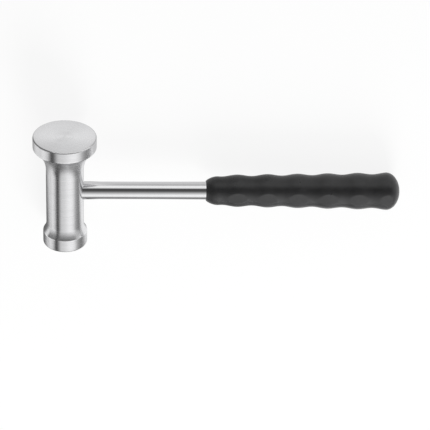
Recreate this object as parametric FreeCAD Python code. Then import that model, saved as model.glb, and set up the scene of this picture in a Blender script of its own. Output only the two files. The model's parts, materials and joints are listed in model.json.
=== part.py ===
import FreeCAD, Part
import math
import os

# A surgeon's bone mallet: a waisted steel head, a bare steel rod and a wavy black
# silicone grip, in millimetres, lying on its flank on a flat surface with +Z up.
#
# Each piece is first made about the mallet's own axes. Their zero point is where the
# axis of the head crosses the axis of the handle. X runs along the handle to the
# grip, Y along the head to its large face, and Z out of one flank. The last step
# lays the whole mallet down as it rests: on its two rims and the end of the grip.

# Head, turned from one bar of stainless steel
head_length = 82.4
large_face_above_handle = 42.0
large_face_diameter = 42.0
large_face_rounding = 1.0
rim_width = 8.0
rim_cove_radius = 22.0
waist_diameter = 25.0
collar_cove_radius = 12.0
collar_width = 9.2
small_face_diameter = 29.5
small_face_rounding = 1.0

# Rod, turned from polished bar, with a stepped end that is screwed and glued in the head
rod_diameter = 12.0
rod_seat_depth = 3.0
spigot_diameter = 8.0
spigot_length = 14.0
spigot_chamfer = 1.0
relief_width = 2.0
relief_depth = 0.6
hole_gap = 0.05
hole_spare_depth = 1.5
drill_point_angle = 118.0

# Tang, the length of the rod inside the grip, cut so that the silicone can't slide or turn
tang_end_wall = 14.0
tang_groove_width = 24.0
tang_groove_depth = 1.0
tang_flat_depth = 0.8
tang_flat_length = 20.0
tang_end_chamfer = 1.5
glue_film = 0.05

# Grip, moulded in silicone: round waves that grow towards a domed end
grip_start = 93.7
grip_length = 130.0
nose_length = 8.2
nose_start_diameter = 13.4
wave_count = 6
wave_depth = 1.1
first_valley_share = 0.125
last_rise_share = 0.455
first_crest_diameter = 21.6
last_crest_diameter = 25.2
dome_length = 9.0
flat_depth = 0.8

# How far a cutting shape runs past what it cuts
overrun = 5.0

# Into how many straight steps each round stretch of an outline is divided. The steps of
# the waves are counted for one whole wave.
rounding_steps = 2
rim_cove_steps = 7
collar_cove_steps = 3
nose_steps = 3
wave_steps = 8
dome_steps = 5

waist_radius = waist_diameter / 2
large_radius = large_face_diameter / 2
small_radius = small_face_diameter / 2
large_face_y = large_face_above_handle
small_face_y = large_face_y - head_length
rim_under_y = large_face_y - rim_width
collar_top_y = small_face_y + collar_width

rod_radius = rod_diameter / 2
shoulder_x = waist_radius - rod_seat_depth
spigot_end_x = shoulder_x - spigot_length
tang_end_x = grip_start + grip_length - tang_end_wall

# The waves run from the end of the nose to the start of the dome. The first valley comes
# soon after the nose, and the dome starts just before the last crest would be whole.
waves_start_x = grip_start + nose_length
waves_end_x = grip_start + grip_length - dome_length
wave_pitches = wave_count - 1 + first_valley_share + last_rise_share
wave_pitch = (waves_end_x - waves_start_x) / wave_pitches
first_valley_x = waves_start_x + first_valley_share * wave_pitch


def vec(x, y, z=0):
    return FreeCAD.Vector(x, y, z)


def turned(outline, axis):
    """Solid of a closed half outline, in the XY plane, turned about an axis."""
    face = Part.Face(Part.makePolygon(outline + outline[:1]))
    return face.revolve(vec(0, 0), axis, 360)


def round_points(centre, radii, start, end, steps):
    """Points of an elliptic arc between two angles, in degrees from the X axis."""
    angles = [math.radians(start + (end - start) * i / steps) for i in range(steps + 1)]
    return [
        centre + vec(radii[0] * math.cos(angle), radii[1] * math.sin(angle))
        for angle in angles
    ]


def cove(edge_radius, edge_y, cove_radius, side, steps):
    """Hollow sweep from the edge of a rim in to the waist, as points from rim to waist.

    side is 1 where the rim lies above the waist and -1 where it lies below.
    """
    centre_radius = waist_radius + cove_radius
    run = math.sqrt(cove_radius**2 - (centre_radius - edge_radius) ** 2)
    centre = vec(centre_radius, edge_y - side * run)
    sweep = side * math.degrees(math.asin(run / cove_radius))
    return round_points(centre, (cove_radius, cove_radius), 180 - sweep, 180, steps)


def rod_hole():
    """Hole across the waist: a seat for the full rod, a deeper hole and a drilled point."""
    seat_radius = rod_radius + hole_gap
    hole_radius = spigot_diameter / 2 + hole_gap
    bottom_x = spigot_end_x - hole_spare_depth
    point_depth = hole_radius / math.tan(math.radians(drill_point_angle / 2))
    mouth_x = waist_radius + overrun
    outline = [
        vec(bottom_x - point_depth, 0),
        vec(bottom_x, hole_radius),
        vec(shoulder_x, hole_radius),
        vec(shoulder_x, seat_radius),
        vec(mouth_x, seat_radius),
        vec(mouth_x, 0),
    ]
    return turned(outline, vec(1, 0))


def mallet_head():
    """Large rim, long cove, straight waist, short cove and small collar in one piece."""
    top = large_face_rounding
    bottom = small_face_rounding
    top_centre = vec(large_radius - top, large_face_y - top)
    bottom_centre = vec(small_radius - bottom, small_face_y + bottom)
    outline = [vec(0, large_face_y)]
    outline += round_points(top_centre, (top, top), 90, 0, rounding_steps)
    outline += cove(large_radius, rim_under_y, rim_cove_radius, 1, rim_cove_steps)
    lower_cove = cove(small_radius, collar_top_y, collar_cove_radius, -1, collar_cove_steps)
    outline += lower_cove[::-1]
    outline += round_points(bottom_centre, (bottom, bottom), 0, -90, rounding_steps)
    outline += [vec(0, small_face_y)]
    return turned(outline, vec(0, 1)).cut(rod_hole())


def crest_radius(x):
    """Radius of the straight line over the crests, which grows along the grip."""
    first_x = first_valley_x + wave_pitch / 2
    share = (x - first_x) / (waves_end_x - first_x)
    return (first_crest_diameter + share * (last_crest_diameter - first_crest_diameter)) / 2


def wave_radius(x):
    turn = 2 * math.pi * (x - first_valley_x) / wave_pitch
    return crest_radius(x) - wave_depth * (1 + math.cos(turn)) / 2


def tang(film):
    """Tang with its long groove and two flats, thickened all over by a film.

    With no film it is the rod's own end, and with one it is the socket in the grip.
    """
    full = rod_radius + film
    groove = full - tang_groove_depth
    half_groove = tang_groove_width / 2 - film
    end_x = tang_end_x + film
    start_x = grip_start - (overrun if film else 0)
    groove_x = first_valley_x + wave_pitch
    outline = [
        vec(start_x, 0),
        vec(start_x, full),
        vec(groove_x - half_groove, full),
        vec(groove_x - half_groove, groove),
        vec(groove_x + half_groove, groove),
        vec(groove_x + half_groove, full),
        vec(end_x - tang_end_chamfer, full),
        vec(end_x, full - tang_end_chamfer),
        vec(end_x, 0),
    ]
    shape = turned(outline, vec(1, 0))
    width = rod_diameter + overrun
    corner = vec(tang_end_x - tang_flat_length + film, -width / 2, full - tang_flat_depth)
    for half_turn in (0, 180):
        cutter = Part.makeBox(tang_flat_length + overrun, width, overrun, corner)
        cutter.rotate(vec(0, 0), vec(1, 0), half_turn)
        shape = shape.cut(cutter)
    return shape


def handle_rod():
    """Stepped end for the head, the bare polished length, and the tang for the grip."""
    spigot_radius = spigot_diameter / 2
    outline = [
        vec(spigot_end_x, 0),
        vec(spigot_end_x, spigot_radius - spigot_chamfer),
        vec(spigot_end_x + spigot_chamfer, spigot_radius),
        vec(shoulder_x - relief_width, spigot_radius),
        vec(shoulder_x - relief_width, spigot_radius - relief_depth),
        vec(shoulder_x, spigot_radius - relief_depth),
        vec(shoulder_x, rod_radius),
        vec(grip_start, rod_radius),
        vec(grip_start, 0),
    ]
    return turned(outline, vec(1, 0)).fuse(tang(0)).removeSplitter()


def grip_body():
    """Outer form of the grip, turned: convex nose, six round waves and a domed end."""
    nose_start_radius = nose_start_diameter / 2
    rise = wave_radius(waves_start_x) - nose_start_radius
    nose_radius = (nose_length**2 + rise**2) / (2 * rise)
    nose_sweep = math.degrees(math.asin(nose_length / nose_radius))
    nose_centre = vec(waves_start_x, nose_start_radius + rise - nose_radius)
    nose_radii = (nose_radius, nose_radius)
    end_radius = wave_radius(waves_end_x)
    count = round(wave_pitches * wave_steps)
    run = (waves_end_x - waves_start_x) / count
    wave_xs = [waves_start_x + index * run for index in range(1, count)]

    outline = [vec(grip_start, 0)]
    outline += round_points(nose_centre, nose_radii, 90 + nose_sweep, 90, nose_steps)
    outline += [vec(x, wave_radius(x)) for x in wave_xs]
    outline += round_points(vec(waves_end_x, 0), (dome_length, end_radius), 90, 0, dome_steps)
    return turned(outline, vec(1, 0))


def flank_cutter():
    """Wedge that slices every crest of one flank to a lens-shaped flat."""
    end_x = grip_start + grip_length + overrun
    half_width = last_crest_diameter / 2 + overrun
    corners = [
        vec(waves_start_x, -half_width, crest_radius(waves_start_x) - flat_depth),
        vec(end_x, -half_width, crest_radius(end_x) - flat_depth),
        vec(end_x, -half_width, half_width),
        vec(waves_start_x, -half_width, half_width),
    ]
    face = Part.Face(Part.makePolygon(corners + corners[:1]))
    return face.extrude(vec(0, 2 * half_width))


def grip():
    """Silicone grip with its thumb flats on both flanks and the socket for the tang."""
    body = grip_body()
    for half_turn in (0, 180):
        cutter = flank_cutter()
        cutter.rotate(vec(0, 0), vec(1, 0), half_turn)
        body = body.cut(cutter)
    return body.cut(tang(glue_film))


def resting_turn():
    """Turn that lays the mallet on its large rim, its small collar and its grip.

    The lower edge of the rim and the rounding of the collar touch the surface at once,
    which fixes how far the head leans. The handle then drops until the grip touches.
    """
    across = large_radius - (small_radius - small_face_rounding)
    along = rim_under_y - (small_face_y + small_face_rounding)
    lean = math.atan2(across, along) - math.asin(small_face_rounding / math.hypot(across, along))
    height = large_radius * math.cos(lean) - rim_under_y * math.sin(lean)

    end_radius = wave_radius(waves_end_x)
    flat_angle = math.acos((crest_radius(waves_end_x) - flat_depth) / end_radius)
    reach = end_radius * math.cos(max(flat_angle - lean, 0))
    drop = math.asin(height / math.hypot(waves_end_x, reach)) - math.atan2(reach, waves_end_x)

    up = vec(-math.sin(drop), math.sin(lean))
    up.z = math.sqrt(1 - up.x**2 - up.y**2)
    forward = vec(1, 0) - up * up.x
    forward.normalize()
    return FreeCAD.Rotation(forward, up.cross(forward), up, "ZXY").inverted()


def laid_down(shapes):
    """Placement that rests the mallet on Z zero, centred on its own outer box."""
    turn = FreeCAD.Placement(vec(0, 0), resting_turn())
    whole = Part.makeCompound([shape.copy() for shape in shapes])
    whole.Placement = turn
    box = whole.optimalBoundingBox(False, False)
    shift = vec(-box.Center.x, -box.Center.y, -box.ZMin)
    return FreeCAD.Placement(shift, FreeCAD.Rotation()).multiply(turn)


pieces = {
    "mallet_head": mallet_head(),
    "handle_rod": handle_rod(),
    "grip": grip(),
}
placement = laid_down(pieces.values())

os.makedirs("parts", exist_ok=True)
for name, shape in pieces.items():
    placed = shape.copy()
    placed.Placement = placement.multiply(shape.Placement)
    placed.exportStep("parts/" + name + ".step")
    print(name, "solids", len(placed.Solids), "volume", round(placed.Volume), placed.isValid())
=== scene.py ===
import json
import math

import bpy
from mathutils import Matrix, Vector


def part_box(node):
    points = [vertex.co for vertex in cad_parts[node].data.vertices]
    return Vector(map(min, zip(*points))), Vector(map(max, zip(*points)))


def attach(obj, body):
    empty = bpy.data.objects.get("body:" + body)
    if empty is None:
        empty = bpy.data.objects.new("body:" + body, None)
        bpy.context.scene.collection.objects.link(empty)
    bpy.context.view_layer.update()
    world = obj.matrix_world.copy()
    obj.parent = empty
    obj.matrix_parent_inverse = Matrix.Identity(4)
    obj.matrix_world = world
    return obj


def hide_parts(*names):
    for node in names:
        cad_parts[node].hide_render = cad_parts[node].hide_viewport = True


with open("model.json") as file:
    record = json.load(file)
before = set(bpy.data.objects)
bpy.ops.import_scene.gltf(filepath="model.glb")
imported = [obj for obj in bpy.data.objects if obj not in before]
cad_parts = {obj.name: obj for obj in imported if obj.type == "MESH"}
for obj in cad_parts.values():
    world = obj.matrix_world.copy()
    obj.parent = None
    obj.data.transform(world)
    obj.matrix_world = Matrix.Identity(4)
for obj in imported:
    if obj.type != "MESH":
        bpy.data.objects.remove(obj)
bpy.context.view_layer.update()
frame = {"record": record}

# Head. One piece of stainless steel, turned on a lathe and finished with a fine abrasive
# while it spins: a broad rim and face, a long cove, a straight waist, a short cove and a
# small collar. A stepped hole across the waist takes the end of the rod.
mounts = {mount["name"]: mount for mount in frame["record"]["mounts"]}
large_face_middle = Vector(mounts["large_face"]["pos_m"])
small_face_middle = Vector(mounts["small_face"]["pos_m"])
bare_rod_middle = Vector(mounts["rod_clip"]["pos_m"])
head_axis = Vector(mounts["large_face"]["axis"]).normalized()
handle_axis = Vector(mounts["rod_clip"]["axis"]).normalized()
flank_axis = handle_axis.cross(head_axis).normalized()

# The crossing is where the handle's axis meets the head's. Places are measured from it.
crossing = small_face_middle + head_axis * (bare_rod_middle - small_face_middle).dot(head_axis)
mm_per_metre = 1000
bare_rod_length = mounts["rod_clip"]["dims"]["length_mm"] / mm_per_metre
rod_radius = mounts["rod_clip"]["dims"]["r_mm"] / mm_per_metre
waist_radius = (bare_rod_middle - crossing).dot(handle_axis) - bare_rod_length / 2
head_low, head_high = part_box("mallet_head")

# The finished surfaces stay inside the box of the solids by the width of this skin.
skin = 0.00002
large_face_y = (large_face_middle - crossing).dot(head_axis) - skin
small_face_y = (small_face_middle - crossing).dot(head_axis) + skin
large_radius = (head_high.x - head_low.x) / 2 - skin
large_face_rounding = 0.001
rim_width = 0.008
rim_cove_radius = 0.022
small_radius = 0.01475
small_face_rounding = 0.001
collar_width = 0.0092
collar_cove_radius = 0.012
edge_ease = 0.0004
hole_gap = 0.00006
seat_depth = 0.003
spigot_radius = 0.004
spigot_length = 0.014
hole_spare_depth = 0.0015
drill_point_depth = spigot_radius / 2
hole_mouth_x = waist_radius * 2

# Rings and sides of the turned surfaces. Edges sharper than the crease angle stay sharp.
head_sides = 256
hole_sides = 128
face_rings = 6
large_rounding_rings = 12
rim_rings = 6
ease_rings = 5
rim_cove_rings = 44
waist_rings = 40
collar_cove_rings = 24
collar_rings = 8
small_rounding_rings = 10
crease_angle = math.radians(32)


def arc(centre, radii, start, end, rings):
    """Points of a round stretch of an outline, between two angles in degrees."""
    points = []
    for ring in range(rings + 1):
        angle = math.radians(start + (end - start) * ring / rings)
        points.append((centre[0] + radii[0] * math.cos(angle), centre[1] + radii[1] * math.sin(angle)))
    return points


def eased(before, corner, after, ease):
    """A corner of an outline with its sharp edge taken off."""
    corner = Vector(corner)
    start = corner + (Vector(before) - corner).normalized() * ease
    end = corner + (Vector(after) - corner).normalized() * ease
    points = []
    for ring in range(ease_rings + 1):
        share = ring / ease_rings
        near = start.lerp(corner, share)
        points.append(tuple(near.lerp(corner.lerp(end, share), share)))
    return points


def straight(start, end, rings):
    """Points along a straight stretch of an outline, without its two ends."""
    return [tuple(Vector(start).lerp(Vector(end), ring / rings)) for ring in range(1, rings)]


def face_circles(face_y, radius):
    """Points of a flat face from near its middle to near its rounding."""
    return [(face_y, radius * ring / (face_rings + 2)) for ring in range(1, face_rings + 1)]


def cove(edge_radius, edge_y, cove_radius, side, rings):
    """Hollow sweep from the edge of a rim in to the waist, as points from rim to waist."""
    centre_radius = waist_radius + cove_radius
    run = math.sqrt(cove_radius**2 - (centre_radius - edge_radius) ** 2)
    sweep = math.degrees(math.asin(run / cove_radius))
    centre = (edge_y - side * run, centre_radius)
    return arc(centre, (cove_radius, cove_radius), 270 + side * sweep, 270, rings)


def turned(name, outline, origin, axis, across, sides, pressed=None):
    """Closed mesh of an outline of (along, radius) points, turned about an axis.

    pressed, where it is given, changes the radius by the place along and the angle round.
    """
    beside = axis.cross(across)
    corners = []
    rings = []
    for along, radius in outline:
        count = sides if radius > 0 else 1
        rings.append(range(len(corners), len(corners) + count))
        for side in range(count):
            turn = 2 * math.pi * side / sides
            reach = pressed(along, radius, turn) if pressed else radius
            outward = across * math.cos(turn) + beside * math.sin(turn)
            corners.append(origin + axis * along + outward * reach)
    faces = []
    for ring, following in zip(rings, rings[1:]):
        for side in range(sides):
            onward = (side + 1) % sides
            if len(ring) == 1:
                faces.append((ring[0], following[side], following[onward]))
            elif len(following) == 1:
                faces.append((ring[side], following[0], ring[onward]))
            else:
                faces.append((ring[side], following[side], following[onward], ring[onward]))
    mesh = bpy.data.meshes.new(name)
    mesh.from_pydata(corners, [], faces)
    mesh.update()
    mesh.shade_smooth()
    mesh.set_sharp_from_angle(angle=crease_angle)
    piece = bpy.data.objects.new(name, mesh)
    bpy.context.scene.collection.objects.link(piece)
    return piece


rim_under_y = large_face_y - rim_width
collar_top_y = small_face_y + collar_width
rim_cove = cove(large_radius, rim_under_y, rim_cove_radius, 1, rim_cove_rings)
collar_cove = cove(small_radius, collar_top_y, collar_cove_radius, -1, collar_cove_rings)[::-1]
large_rounding = arc(
    (large_face_y - large_face_rounding, large_radius - large_face_rounding),
    (large_face_rounding, large_face_rounding), 0, 90, large_rounding_rings,
)
small_rounding = arc(
    (small_face_y + small_face_rounding, small_radius - small_face_rounding),
    (small_face_rounding, small_face_rounding), 90, 180, small_rounding_rings,
)
head_outline = [(large_face_y, 0)]
head_outline += face_circles(large_face_y, large_radius)
head_outline += large_rounding
head_outline += straight(large_rounding[-1], rim_cove[0], rim_rings)
head_outline += eased(large_rounding[-1], rim_cove[0], rim_cove[1], edge_ease)
head_outline += rim_cove[1:]
head_outline += straight(rim_cove[-1], collar_cove[0], waist_rings)
head_outline += collar_cove[:-1]
head_outline += eased(collar_cove[-2], collar_cove[-1], small_rounding[0], edge_ease)
head_outline += straight(collar_cove[-1], small_rounding[0], collar_rings)
head_outline += small_rounding
head_outline += face_circles(small_face_y, small_radius)[::-1]
head_outline += [(small_face_y, 0)]
mallet_head = turned("head", head_outline, crossing, head_axis, flank_axis, head_sides)

shoulder_x = waist_radius - seat_depth
spigot_end_x = shoulder_x - spigot_length
hole_end_x = spigot_end_x - hole_spare_depth
hole_outline = [(hole_end_x - drill_point_depth, 0), (hole_end_x, spigot_radius + hole_gap)]
hole_outline += [(shoulder_x, spigot_radius + hole_gap), (shoulder_x, rod_radius + hole_gap)]
hole_outline += [(hole_mouth_x, rod_radius + hole_gap), (hole_mouth_x, 0)]
rod_hole = turned("rod_hole", hole_outline, crossing, handle_axis, flank_axis, hole_sides)
drilling = mallet_head.modifiers.new("rod_hole", "BOOLEAN")
drilling.operation = "DIFFERENCE"
drilling.solver = "EXACT"
drilling.object = rod_hole
drilled = bpy.data.meshes.new_from_object(mallet_head.evaluated_get(bpy.context.evaluated_depsgraph_get()))
mallet_head.modifiers.clear()
mallet_head.data = drilled
mallet_head.data.set_sharp_from_angle(angle=crease_angle)
bpy.data.objects.remove(rod_hole)

# The head's finish, with sizes in metres. Shares are of the colour or the roughness, scales
# say how often a pattern repeats, and levels are where in its noise a change starts and ends.
head_steel_colour = (0.76, 0.76, 0.77, 1)
head_roughness = 0.28
head_anisotropy = 0.9
head_mark_size = 0.00035
head_mottle_share = 0.03
lathe_mark_depth = 0.0000004
edge_wear_reach = 0.0011
edge_wear_shade_share = 0.1
edge_wear_polish_share = 0.35
brushing_share = 0.12
mark_run_scale = 0.6
broad_mark_scale = 0.17
wear_patch_scale = 320.0
wear_patch_levels = (0.35, 0.6)
least_wear_share = 0.25
fine_levels = (0.25, 0.75)
broad_levels = (0.3, 0.7)


def add_node(tree, kind, inputs, **settings):
    """New shader node, whose sockets get a number, a colour or the output of another node."""
    node = tree.nodes.new(kind)
    for name, value in settings.items():
        setattr(node, name, value)
    for socket, value in inputs.items():
        if isinstance(value, bpy.types.NodeSocket):
            tree.links.new(value, node.inputs[socket])
        else:
            node.inputs[socket].default_value = value
    return node


def maths(tree, operation, *values):
    inputs = dict(enumerate(values))
    return add_node(tree, "ShaderNodeMath", inputs, operation=operation).outputs[0]


def product(tree, *values):
    """All the values multiplied together."""
    result = values[0]
    for value in values[1:]:
        result = maths(tree, "MULTIPLY", result, value)
    return result


def vector_maths(tree, operation, *values):
    inputs = dict(enumerate(values))
    node = add_node(tree, "ShaderNodeVectorMath", inputs, operation=operation)
    return node.outputs["Value" if operation in ("DOT_PRODUCT", "LENGTH") else "Vector"]


def mixed(tree, share, first, second, blend="MIX"):
    """Two colours mixed. The node's sockets 6 and 7 and its output 2 are the ones for colours."""
    inputs = {0: share, 6: first, 7: second}
    return add_node(tree, "ShaderNodeMix", inputs, data_type="RGBA", blend_type=blend).outputs[2]


def fading(tree, value, start, end, start_level, end_level, curve="SMOOTHSTEP"):
    """Level that changes from one to another as a value goes from start to end."""
    return add_node(tree, "ShaderNodeMapRange", {
        "Value": value, "From Min": start, "From Max": end,
        "To Min": start_level, "To Max": end_level,
    }, interpolation_type=curve).outputs["Result"]


def noise(tree, place, scale, detail, roughness):
    return add_node(tree, "ShaderNodeTexNoise", {
        "Vector": place, "Scale": scale, "Detail": detail, "Roughness": roughness,
    }).outputs["Fac"]


def near_edges(tree, along, radius, edges, reach):
    """1 on any of some edges, which are (along, radius) places, and 0 beyond a reach from it."""
    nearest = reach
    for edge_along, edge_radius in edges:
        offset = add_node(tree, "ShaderNodeCombineXYZ", {
            "X": maths(tree, "SUBTRACT", along, edge_along),
            "Y": maths(tree, "SUBTRACT", radius, edge_radius),
        }).outputs["Vector"]
        nearest = maths(tree, "MINIMUM", nearest, vector_maths(tree, "LENGTH", offset))
    return fading(tree, nearest, reach, 0.0, 0.0, 1.0)


def lathe_finish(name, colour, roughness, anisotropy, axis, mark_size, mottle, edges):
    """Steel that was finished as it spun about an axis, so its fine marks are rings.

    Light spreads across the rings and stays sharp along them. The edges are rubbed a
    little brighter and smoother, in patches.
    """
    material = bpy.data.materials.new(name)
    material.use_nodes = True
    tree = material.node_tree
    shader = tree.nodes["Principled BSDF"]
    place = add_node(tree, "ShaderNodeTexCoord", {}).outputs["Object"]
    offset = vector_maths(tree, "SUBTRACT", place, crossing)
    along = vector_maths(tree, "DOT_PRODUCT", offset, axis)
    tangent_round = vector_maths(tree, "CROSS_PRODUCT", axis, offset)
    radius = vector_maths(tree, "LENGTH", tangent_round)
    turn = maths(
        tree, "ARCTAN2",
        vector_maths(tree, "DOT_PRODUCT", offset, flank_axis),
        vector_maths(tree, "DOT_PRODUCT", offset, axis.cross(flank_axis)),
    )
    normal = add_node(tree, "ShaderNodeNewGeometry", {}).outputs["Normal"]
    meridian = vector_maths(tree, "CROSS_PRODUCT", tangent_round, normal)

    marks = add_node(tree, "ShaderNodeCombineXYZ", {
        "X": maths(tree, "DIVIDE", along, mark_size),
        "Y": maths(tree, "DIVIDE", radius, mark_size),
        "Z": maths(tree, "MULTIPLY", turn, mark_run_scale),
    }).outputs["Vector"]
    fine = noise(tree, marks, 1.0, 3.0, 0.6)
    broad = noise(tree, marks, broad_mark_scale, 2.0, 0.5)
    patches = noise(tree, place, wear_patch_scale, 2.0, 0.5)
    patchy = fading(tree, patches, *wear_patch_levels, least_wear_share, 1.0, "LINEAR")
    worn = maths(tree, "MULTIPLY", near_edges(tree, along, radius, edges, edge_wear_reach), patchy)
    mottled = fading(tree, broad, *broad_levels, 1 - mottle, 1 + mottle, "LINEAR")
    shade = maths(tree, "MULTIPLY_ADD", worn, edge_wear_shade_share, mottled)
    base = mixed(tree, 1.0, colour, shade, "MULTIPLY")
    smoothest = roughness * (1 - brushing_share)
    roughest = roughness * (1 + brushing_share)
    brushed = fading(tree, fine, *fine_levels, smoothest, roughest, "LINEAR")
    unpolished = maths(tree, "SUBTRACT", 1.0, maths(tree, "MULTIPLY", worn, edge_wear_polish_share))
    satin = maths(tree, "MULTIPLY", brushed, unpolished)
    bump = add_node(tree, "ShaderNodeBump", {
        "Height": fine, "Strength": 1.0, "Distance": lathe_mark_depth,
    }).outputs["Normal"]
    shader.inputs["Metallic"].default_value = 1.0
    shader.inputs["Anisotropic"].default_value = anisotropy
    tree.links.new(base, shader.inputs["Base Color"])
    tree.links.new(satin, shader.inputs["Roughness"])
    tree.links.new(bump, shader.inputs["Normal"])
    tree.links.new(meridian, shader.inputs["Tangent"])
    return material


head_edges = [(large_face_y, large_radius), (rim_under_y, large_radius)]
head_edges += [(collar_top_y, small_radius), (small_face_y, small_radius)]
satin_steel = lathe_finish(
    "satin_turned_steel", head_steel_colour, head_roughness, head_anisotropy,
    head_axis, head_mark_size, head_mottle_share, head_edges,
)
mallet_head.data.materials.append(satin_steel)
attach(mallet_head, "root")
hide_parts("mallet_head")

# Rod. A bar of stainless steel, ground and polished. Its stepped end is screwed and glued
# into the head, and its flattened tang holds the grip.
grip_start = waist_radius + bare_rod_length
rod_end = (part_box("handle_rod")[1] - crossing).dot(handle_axis)
spigot_chamfer = 0.001
relief_width = 0.002
relief_depth = 0.0006
tang_chamfer = 0.0015
tang_flat_depth = 0.0008
tang_flat_length = 0.02
tang_step_width = 0.00001
least_facing = 0.01
bare_rod_rings = 60
rod_sides = 192
rod_steel_colour = (0.78, 0.78, 0.79, 1)
rod_roughness = 0.1
rod_anisotropy = 0.5
rod_mark_size = 0.0005
rod_mottle_share = 0.015

tang_flats_x = rod_end - tang_flat_length
relief_x = shoulder_x - relief_width
relief_radius = spigot_radius - relief_depth


def tang_flats(along, radius, turn):
    """Radius of the tang, cut flat on both flanks near its end."""
    if along < tang_flats_x:
        return radius
    return min(radius, (rod_radius - tang_flat_depth) / max(abs(math.cos(turn)), least_facing))


rod_outline = [(spigot_end_x, 0), (spigot_end_x, spigot_radius - spigot_chamfer)]
rod_outline += [(spigot_end_x + spigot_chamfer, spigot_radius)]
rod_outline += [(relief_x, spigot_radius), (relief_x, relief_radius)]
rod_outline += [(shoulder_x, relief_radius), (shoulder_x, rod_radius)]
rod_outline += straight((shoulder_x, rod_radius), (grip_start, rod_radius), bare_rod_rings)
rod_outline += [(grip_start, rod_radius), (tang_flats_x - tang_step_width, rod_radius)]
rod_outline += [(tang_flats_x, rod_radius), (rod_end - tang_chamfer, rod_radius)]
rod_outline += [(rod_end, rod_radius - tang_chamfer), (rod_end, 0)]
handle_rod = turned("rod", rod_outline, crossing, handle_axis, flank_axis, rod_sides, tang_flats)

polished_steel = lathe_finish(
    "polished_bar_steel", rod_steel_colour, rod_roughness, rod_anisotropy,
    handle_axis, rod_mark_size, rod_mottle_share,
    [(grip_start, rod_radius), (shoulder_x, rod_radius)],
)
handle_rod.data.materials.append(polished_steel)
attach(handle_rod, "root")
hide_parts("handle_rod")

# Grip. Black silicone, moulded over the tang: a convex nose, six round waves that grow
# towards the domed end, and a row of thumb flats along each flank, one on every crest.
grip_end = (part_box("grip")[1].x - crossing.x) / handle_axis.x - skin
nose_length = 0.0082
nose_start_radius = 0.0067
nose_ease = 0.0003
wave_count = 6
wave_depth = 0.0011
first_valley_share = 0.125
last_rise_share = 0.455
first_crest_radius = 0.0108
last_crest_radius = 0.0126
dome_length = 0.009
flat_depth = 0.0008
flat_softness = 0.00006
least_flat_facing = 0.3
least_flat_radius_share = 1.2
glue_film = 0.00005
socket_radius = rod_radius + glue_film
socket_end = rod_end + glue_film
grip_sides = 256
ring_spacing = 0.00045
nose_rings = 24
dome_rings = 40
silicone_colour = (0.031, 0.031, 0.032, 1)
silicone_mottle = (0.8, 1.2)
silicone_roughness = (0.29, 0.38)
silicone_gloss = 0.45
grain_scale = 4500.0
grain_depth = 0.00004
cloud_scale = 140.0
crest_rub_shade = 0.12
crest_rub_polish = 0.03

waves_start = grip_start + nose_length
waves_end = grip_end - dome_length
wave_pitch = (waves_end - waves_start) / (wave_count - 1 + first_valley_share + last_rise_share)
first_valley = waves_start + first_valley_share * wave_pitch
first_crest = first_valley + wave_pitch / 2


def crest_radius(along):
    share = (along - first_crest) / (waves_end - first_crest)
    return first_crest_radius + share * (last_crest_radius - first_crest_radius)


def wave_radius(along):
    turn = 2 * math.pi * (along - first_valley) / wave_pitch
    return crest_radius(along) - wave_depth * (1 + math.cos(turn)) / 2


def thumb_flats(along, radius, turn):
    """Radius of the grip, pressed flat on both flanks with a slightly soft edge."""
    facing = abs(math.cos(turn))
    inside = radius < rod_radius * least_flat_radius_share
    if along < waves_start or inside or facing < least_flat_facing:
        return radius
    limit = (crest_radius(along) - flat_depth) / facing
    return (radius + limit - math.hypot(radius - limit, flat_softness)) / 2


rise = wave_radius(waves_start) - nose_start_radius
nose_radius = (nose_length**2 + rise**2) / (2 * rise)
nose_sweep = math.degrees(math.asin(nose_length / nose_radius))
nose_centre = (waves_start, nose_start_radius + rise - nose_radius)
nose = arc(nose_centre, (nose_radius, nose_radius), 90 + nose_sweep, 90, nose_rings)
wave_rings = round((waves_end - waves_start) / ring_spacing)
waves = [waves_start + (waves_end - waves_start) * ring / wave_rings for ring in range(1, wave_rings)]
grip_outline = [(socket_end, 0), (socket_end, socket_radius)]
grip_outline += [(grip_start, socket_radius)]
grip_outline += eased((grip_start, socket_radius), nose[0], nose[1], nose_ease)
grip_outline += nose[1:]
grip_outline += [(along, wave_radius(along)) for along in waves]
grip_outline += arc((waves_end, 0), (dome_length, wave_radius(waves_end)), 90, 0, dome_rings)[:-1]
grip_outline += [(grip_end, 0)]
grip = turned("silicone_grip", grip_outline, crossing, handle_axis, flank_axis, grip_sides, thumb_flats)

silicone = bpy.data.materials.new("black_silicone")
silicone.use_nodes = True
tree = silicone.node_tree
place = add_node(tree, "ShaderNodeTexCoord", {}).outputs["Object"]
grain = noise(tree, place, grain_scale, 2.0, 0.6)
cloud = noise(tree, place, cloud_scale, 3.0, 0.55)
offset = vector_maths(tree, "SUBTRACT", place, crossing)
along = vector_maths(tree, "DOT_PRODUCT", offset, handle_axis)
radius = vector_maths(tree, "LENGTH", vector_maths(tree, "CROSS_PRODUCT", handle_axis, offset))
crest_line = add_node(tree, "ShaderNodeMapRange", {
    "Value": along, "From Min": first_crest, "From Max": waves_end,
    "To Min": first_crest_radius, "To Max": last_crest_radius,
}, clamp=False).outputs["Result"]
rubbed = fading(tree, maths(tree, "SUBTRACT", crest_line, radius), wave_depth / 2, 0.0, 0.0, 1.0)
mottled = fading(tree, cloud, *broad_levels, *silicone_mottle, "LINEAR")
shade = maths(tree, "MULTIPLY_ADD", rubbed, crest_rub_shade, mottled)
grained = fading(tree, cloud, *broad_levels, *silicone_roughness, "LINEAR")
matt = maths(tree, "SUBTRACT", grained, maths(tree, "MULTIPLY", rubbed, crest_rub_polish))
bump = add_node(tree, "ShaderNodeBump", {
    "Height": grain, "Strength": 1.0, "Distance": grain_depth,
}).outputs["Normal"]
shader = tree.nodes["Principled BSDF"]
shader.inputs["Specular IOR Level"].default_value = silicone_gloss
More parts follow.
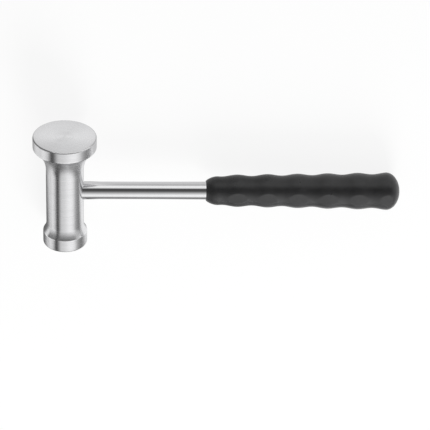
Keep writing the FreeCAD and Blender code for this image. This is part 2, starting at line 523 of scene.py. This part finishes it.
tree.links.new(mixed(tree, 1.0, silicone_colour, shade, "MULTIPLY"), shader.inputs["Base Color"])
tree.links.new(matt, shader.inputs["Roughness"])
tree.links.new(bump, shader.inputs["Normal"])
grip.data.materials.append(silicone)
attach(grip, "root")
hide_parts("grip")

# Table top. Plain and white to the camera, and the mallet's shadow stays on it. The steel
# sees it dim, with painted reflections: glow that only reflections see, in front of the large
# face and the rod, at both ends and to the right of the waist. Far behind the small face the
# reflections see painted shade, as the paint there is darkened for them alone.
table_size = 8.0
table_drop = 0.00005
table_colour = (0.8, 0.8, 0.8, 1)
seen_colour_share = 0.15
seen_glow = 0.877

# Each pair of edges is where a change starts and ends, in metres from the crossing: towards
# the grip for left, right and near edges, and towards the large face for the others. The
# edges of the spot in front of the face are distances from its own middle.
# Glow of the painted reflections, which only rays mirrored in the steel see.
near_glow = 0.08
far_back_share = 0.35
far_back_edges = (-0.14, -0.07)
rod_side_glow = 0.55
rod_side_start_edges = (-0.002, 0.006)
rod_side_left_edges = (-0.043, -0.026)
rod_side_right_glow = 0.56
rod_side_right_edges = (0.02, 0.04)
rod_side_far_glow = 0.4
rod_side_far_edges = (0.02, 0.045)
face_spot_glow = 0.27
face_spot_from_head = 0.058
face_spot_stretch = 1.5
face_spot_edges = (0.012, 0.021)
left_side_glow = 0.75
left_side_slant = -0.35
left_side_left_edges = (-0.02, -0.065)
left_side_front_edges = (0.015, 0.045)
right_side_glow = 0.7
right_side_right_edges = (0.11, 0.15)
right_side_back_edges = (-0.12, -0.05)
waist_side_glow = 0.85
waist_side_near_edges = (0.014, 0.024)
waist_side_right_edges = (0.05, 0.15)
waist_side_front_edges = (0.002, 0.014)
waist_side_back_share = 0.2
waist_side_back_edges = (-0.075, -0.035)

reach = table_size / 2
table_mesh = bpy.data.meshes.new("table_top")
table_mesh.from_pydata(
    [(-reach, -reach, -table_drop), (reach, -reach, -table_drop),
     (reach, reach, -table_drop), (-reach, reach, -table_drop)],
    [], [(0, 1, 2, 3)],
)
table_top = bpy.data.objects.new("table_top", table_mesh)
bpy.context.scene.collection.objects.link(table_top)

table_white = bpy.data.materials.new("table_white")
table_white.use_nodes = True
tree = table_white.node_tree
tree.nodes.remove(tree.nodes["Principled BSDF"])
path = add_node(tree, "ShaderNodeLightPath", {})
camera_ray = path.outputs["Is Camera Ray"]
mirrored_ray = path.outputs["Is Glossy Ray"]
place = vector_maths(tree, "SUBTRACT", add_node(tree, "ShaderNodeTexCoord", {}).outputs["Object"], crossing)
towards_face = vector_maths(tree, "DOT_PRODUCT", place, head_axis)
towards_grip = vector_maths(tree, "DOT_PRODUCT", place, handle_axis)

# Painted reflections: each of these patches adds glow that only rays mirrored in the steel see.
rod_side_right = fading(tree, towards_face, *rod_side_far_edges, rod_side_right_glow, rod_side_far_glow)
rod_side = product(
    tree,
    fading(tree, towards_grip, *rod_side_right_edges, rod_side_glow, rod_side_right),
    fading(tree, towards_face, *rod_side_start_edges, 0, 1),
    fading(tree, towards_grip, *rod_side_left_edges, 0, 1),
)
from_spot = add_node(tree, "ShaderNodeCombineXYZ", {
    "X": maths(tree, "DIVIDE", towards_grip, face_spot_stretch),
    "Y": maths(tree, "SUBTRACT", towards_face, face_spot_from_head),
}).outputs["Vector"]
face_spot = fading(tree, vector_maths(tree, "LENGTH", from_spot), *face_spot_edges, face_spot_glow, 0)
behind = maths(tree, "MINIMUM", towards_face, 0.0)
slanting = maths(tree, "ADD", towards_grip, maths(tree, "MULTIPLY", behind, left_side_slant))
left_side = product(
    tree,
    fading(tree, slanting, *left_side_left_edges, 0, left_side_glow),
    fading(tree, towards_face, *left_side_front_edges, 1, 0),
)
right_side = product(
    tree,
    fading(tree, towards_grip, *right_side_right_edges, 0, right_side_glow),
    fading(tree, towards_face, *right_side_back_edges, 0, 1),
)
waist_side = product(
    tree,
    fading(tree, towards_grip, *waist_side_near_edges, 0, 1),
    fading(tree, towards_grip, *waist_side_right_edges, waist_side_glow, 0),
    fading(tree, towards_face, *waist_side_back_edges, waist_side_back_share, 1),
    fading(tree, towards_face, *waist_side_front_edges, 1, 0),
)
in_front = maths(tree, "ADD", rod_side, face_spot)
both_ends = maths(tree, "ADD", left_side, right_side)
painted_light_places = maths(tree, "MAXIMUM", maths(tree, "MAXIMUM", in_front, both_ends), waist_side)
# Painted reflection glow: a little everywhere, and more in the patches, for mirrored rays only.
painted_reflection_glow = maths(tree, "ADD", near_glow, painted_light_places)
glow_strength = maths(
    tree, "ADD",
    maths(tree, "MULTIPLY", camera_ray, seen_glow),
    maths(tree, "MULTIPLY", mirrored_ray, painted_reflection_glow),
)

seen = maths(tree, "MAXIMUM", camera_ray, mirrored_ray)
seen_paint = tuple(part * seen_colour_share for part in table_colour[:3]) + (1,)
lit_colour = mixed(tree, seen, table_colour, seen_paint)
# Painted shade in reflections: far behind the small face the paint is darkened for mirrored rays only,
# while the camera sees the plain paint.
painted_back_shade = add_node(tree, "ShaderNodeVectorMath", {
    "Vector": lit_colour, "Scale": fading(tree, towards_face, *far_back_edges, far_back_share, 1),
}, operation="SCALE").outputs["Vector"]
paint_and_painted_shade = mixed(tree, mirrored_ray, lit_colour, painted_back_shade)
paint = add_node(tree, "ShaderNodeBsdfDiffuse", {"Color": paint_and_painted_shade}).outputs["BSDF"]
glow = add_node(tree, "ShaderNodeEmission", {
    "Color": (1, 1, 1, 1), "Strength": glow_strength,
}).outputs["Emission"]
both = add_node(tree, "ShaderNodeAddShader", {0: paint, 1: glow}).outputs["Shader"]
tree.links.new(both, tree.nodes["Material Output"].inputs["Surface"])
table_mesh.materials.append(table_white)

# Studio. White to the camera. The steel sees a wide soft light overhead on the side of the
# small face, one on the left, one low in front of the large face and a weaker one at the
# right end, with near darkness between them.
dark_light = 0.08
right_light = 0.03
right_edges = (0.6, 0.8)

# The overhead light's edges are in heights above the mallet, to the right of it or towards
# the large face, apart from overhead_back_side_edges, which are shares like all the others.
overhead_light = 0.92
overhead_right_light = 0.4
overhead_brighter_edges = (-0.3, 0.6)
overhead_left_edges = (-0.93, -0.3)
overhead_right_edges = (0.7, 2.6)
overhead_right_share = 0.42
overhead_front_edges = (0.58, -0.8)
overhead_back_edges = (-0.7, -3.0)
overhead_back_left_share = 0.05
overhead_back_right_share = 0.24
overhead_back_side_edges = (-0.3, 0.3)
least_height = 0.02

# All other edges are shares of the way from overhead to the horizon, to the right or towards
# the large face, and the front light's angles are above the horizon, in radians.
left_light = 1.1
left_edges = (-0.79, -0.655)
left_front_share = 0.12
left_front_edges = (-0.42, 0.0)
front_light = 0.95
front_angles = (0.36, 0.7)
front_left_edges = (-0.3, -0.6)
right_end_light = 0.45
right_end_edges = (0.7, 0.88)
right_end_front_edges = (-0.48, -0.3)

world = bpy.data.worlds.new("studio")
bpy.context.scene.world = world
world.use_nodes = True
tree = world.node_tree
background = tree.nodes["Background"]
direction = add_node(tree, "ShaderNodeTexCoord", {}).outputs["Generated"]
to_grip = vector_maths(tree, "DOT_PRODUCT", direction, handle_axis)
to_face = vector_maths(tree, "DOT_PRODUCT", direction, head_axis)
upward = vector_maths(tree, "DOT_PRODUCT", direction, flank_axis)
height = maths(tree, "MAXIMUM", upward, least_height)
right_of = maths(tree, "DIVIDE", to_grip, height)
front_of = maths(tree, "DIVIDE", to_face, height)

brighter_right = fading(tree, right_of, *overhead_brighter_edges, 0, overhead_right_light)
overhead_back_share = fading(
    tree, to_grip, *overhead_back_side_edges, overhead_back_left_share, overhead_back_right_share
)
overhead = product(
    tree,
    maths(tree, "ADD", overhead_light, brighter_right),
    fading(tree, right_of, *overhead_left_edges, 0, 1),
    fading(tree, right_of, *overhead_right_edges, 1, overhead_right_share),
    fading(tree, front_of, *overhead_front_edges, 0, 1),
    fading(tree, front_of, *overhead_back_edges, 1, overhead_back_share),
)
left = product(
    tree,
    fading(tree, to_grip, *left_edges, left_light, 0),
    fading(tree, to_face, *left_front_edges, 1, left_front_share),
)
front = product(
    tree,
    fading(tree, maths(tree, "ARCTAN2", upward, to_face), *front_angles, front_light, 0),
    maths(tree, "GREATER_THAN", to_face, 0.0),
    fading(tree, to_grip, *front_left_edges, 1, 0),
)
right_end = product(
    tree,
    fading(tree, to_grip, *right_end_edges, 0, right_end_light),
    fading(tree, to_face, *right_end_front_edges, 0, 1),
)
sides = maths(tree, "MAXIMUM", maths(tree, "MAXIMUM", left, front), right_end)
lamps = maths(tree, "MAXIMUM", overhead, sides)
darkness = maths(tree, "ADD", dark_light, fading(tree, to_grip, *right_edges, 0, right_light))
room = maths(tree, "ADD", lamps, darkness)
camera_ray = add_node(tree, "ShaderNodeLightPath", {}).outputs["Is Camera Ray"]
# The mix node's sockets 2 and 3 are the ones for plain numbers.
strength = add_node(tree, "ShaderNodeMix", {0: camera_ray, 2: room, 3: 1.0}).outputs[0]
tree.links.new(strength, background.inputs["Strength"])
background.inputs["Color"].default_value = (1, 1, 1, 1)

# Key lamp. A soft disc, low on the side of the small face, which only lights and isn't
# mirrored in the steel.
key_towards = Vector((0.25, -0.85, 0.5))
key_distance = 1.7
key_size = 1.0
key_watts = 37.0
key_direction = handle_axis * key_towards.x + head_axis * key_towards.y + flank_axis * key_towards.z
key_direction.normalize()
lamp = bpy.data.lights.new("key_lamp", "AREA")
lamp.shape = "DISK"
lamp.size = key_size
lamp.energy = key_watts
key_lamp = bpy.data.objects.new("key_lamp", lamp)
bpy.context.scene.collection.objects.link(key_lamp)
key_lamp.location = key_direction * key_distance
key_lamp.rotation_euler = key_direction.to_track_quat("Z", "Y").to_euler()
key_lamp.visible_camera = False
key_lamp.visible_glossy = False

# Camera. Set up as in the photograph: above the flank that lies upward, on the side of the
# large face, with the picture's top towards that face. Angles are in degrees.
camera_distance = 1.3
camera_elevation = 34.09
camera_swing = -3.652
camera_roll = 0.133
aim_along_handle = 0.099885
aim_up = -0.016254
picture_pixels = 430
focal_pixels = 1948.34
film_width_mm = 36

elevation = math.radians(camera_elevation)
swing = math.radians(camera_swing)
roll = math.radians(camera_roll)
back = flank_axis * math.cos(elevation) + head_axis * math.sin(elevation)
up = head_axis * math.cos(elevation) - flank_axis * math.sin(elevation)
aim = crossing + handle_axis * aim_along_handle + up * aim_up
right = handle_axis * math.cos(swing) - back * math.sin(swing)
back = back * math.cos(swing) + handle_axis * math.sin(swing)
right, up = right * math.cos(roll) + up * math.sin(roll), up * math.cos(roll) - right * math.sin(roll)
lens = bpy.data.cameras.new("camera")
lens.sensor_width = film_width_mm
lens.lens = film_width_mm * focal_pixels / picture_pixels
camera = bpy.data.objects.new("camera", lens)
bpy.context.scene.collection.objects.link(camera)
facing = Matrix((right, up, back)).transposed().to_4x4()
camera.matrix_world = Matrix.Translation(aim + back * camera_distance) @ facing
bpy.context.scene.camera = camera
bpy.context.scene.view_settings.view_transform = "Standard"
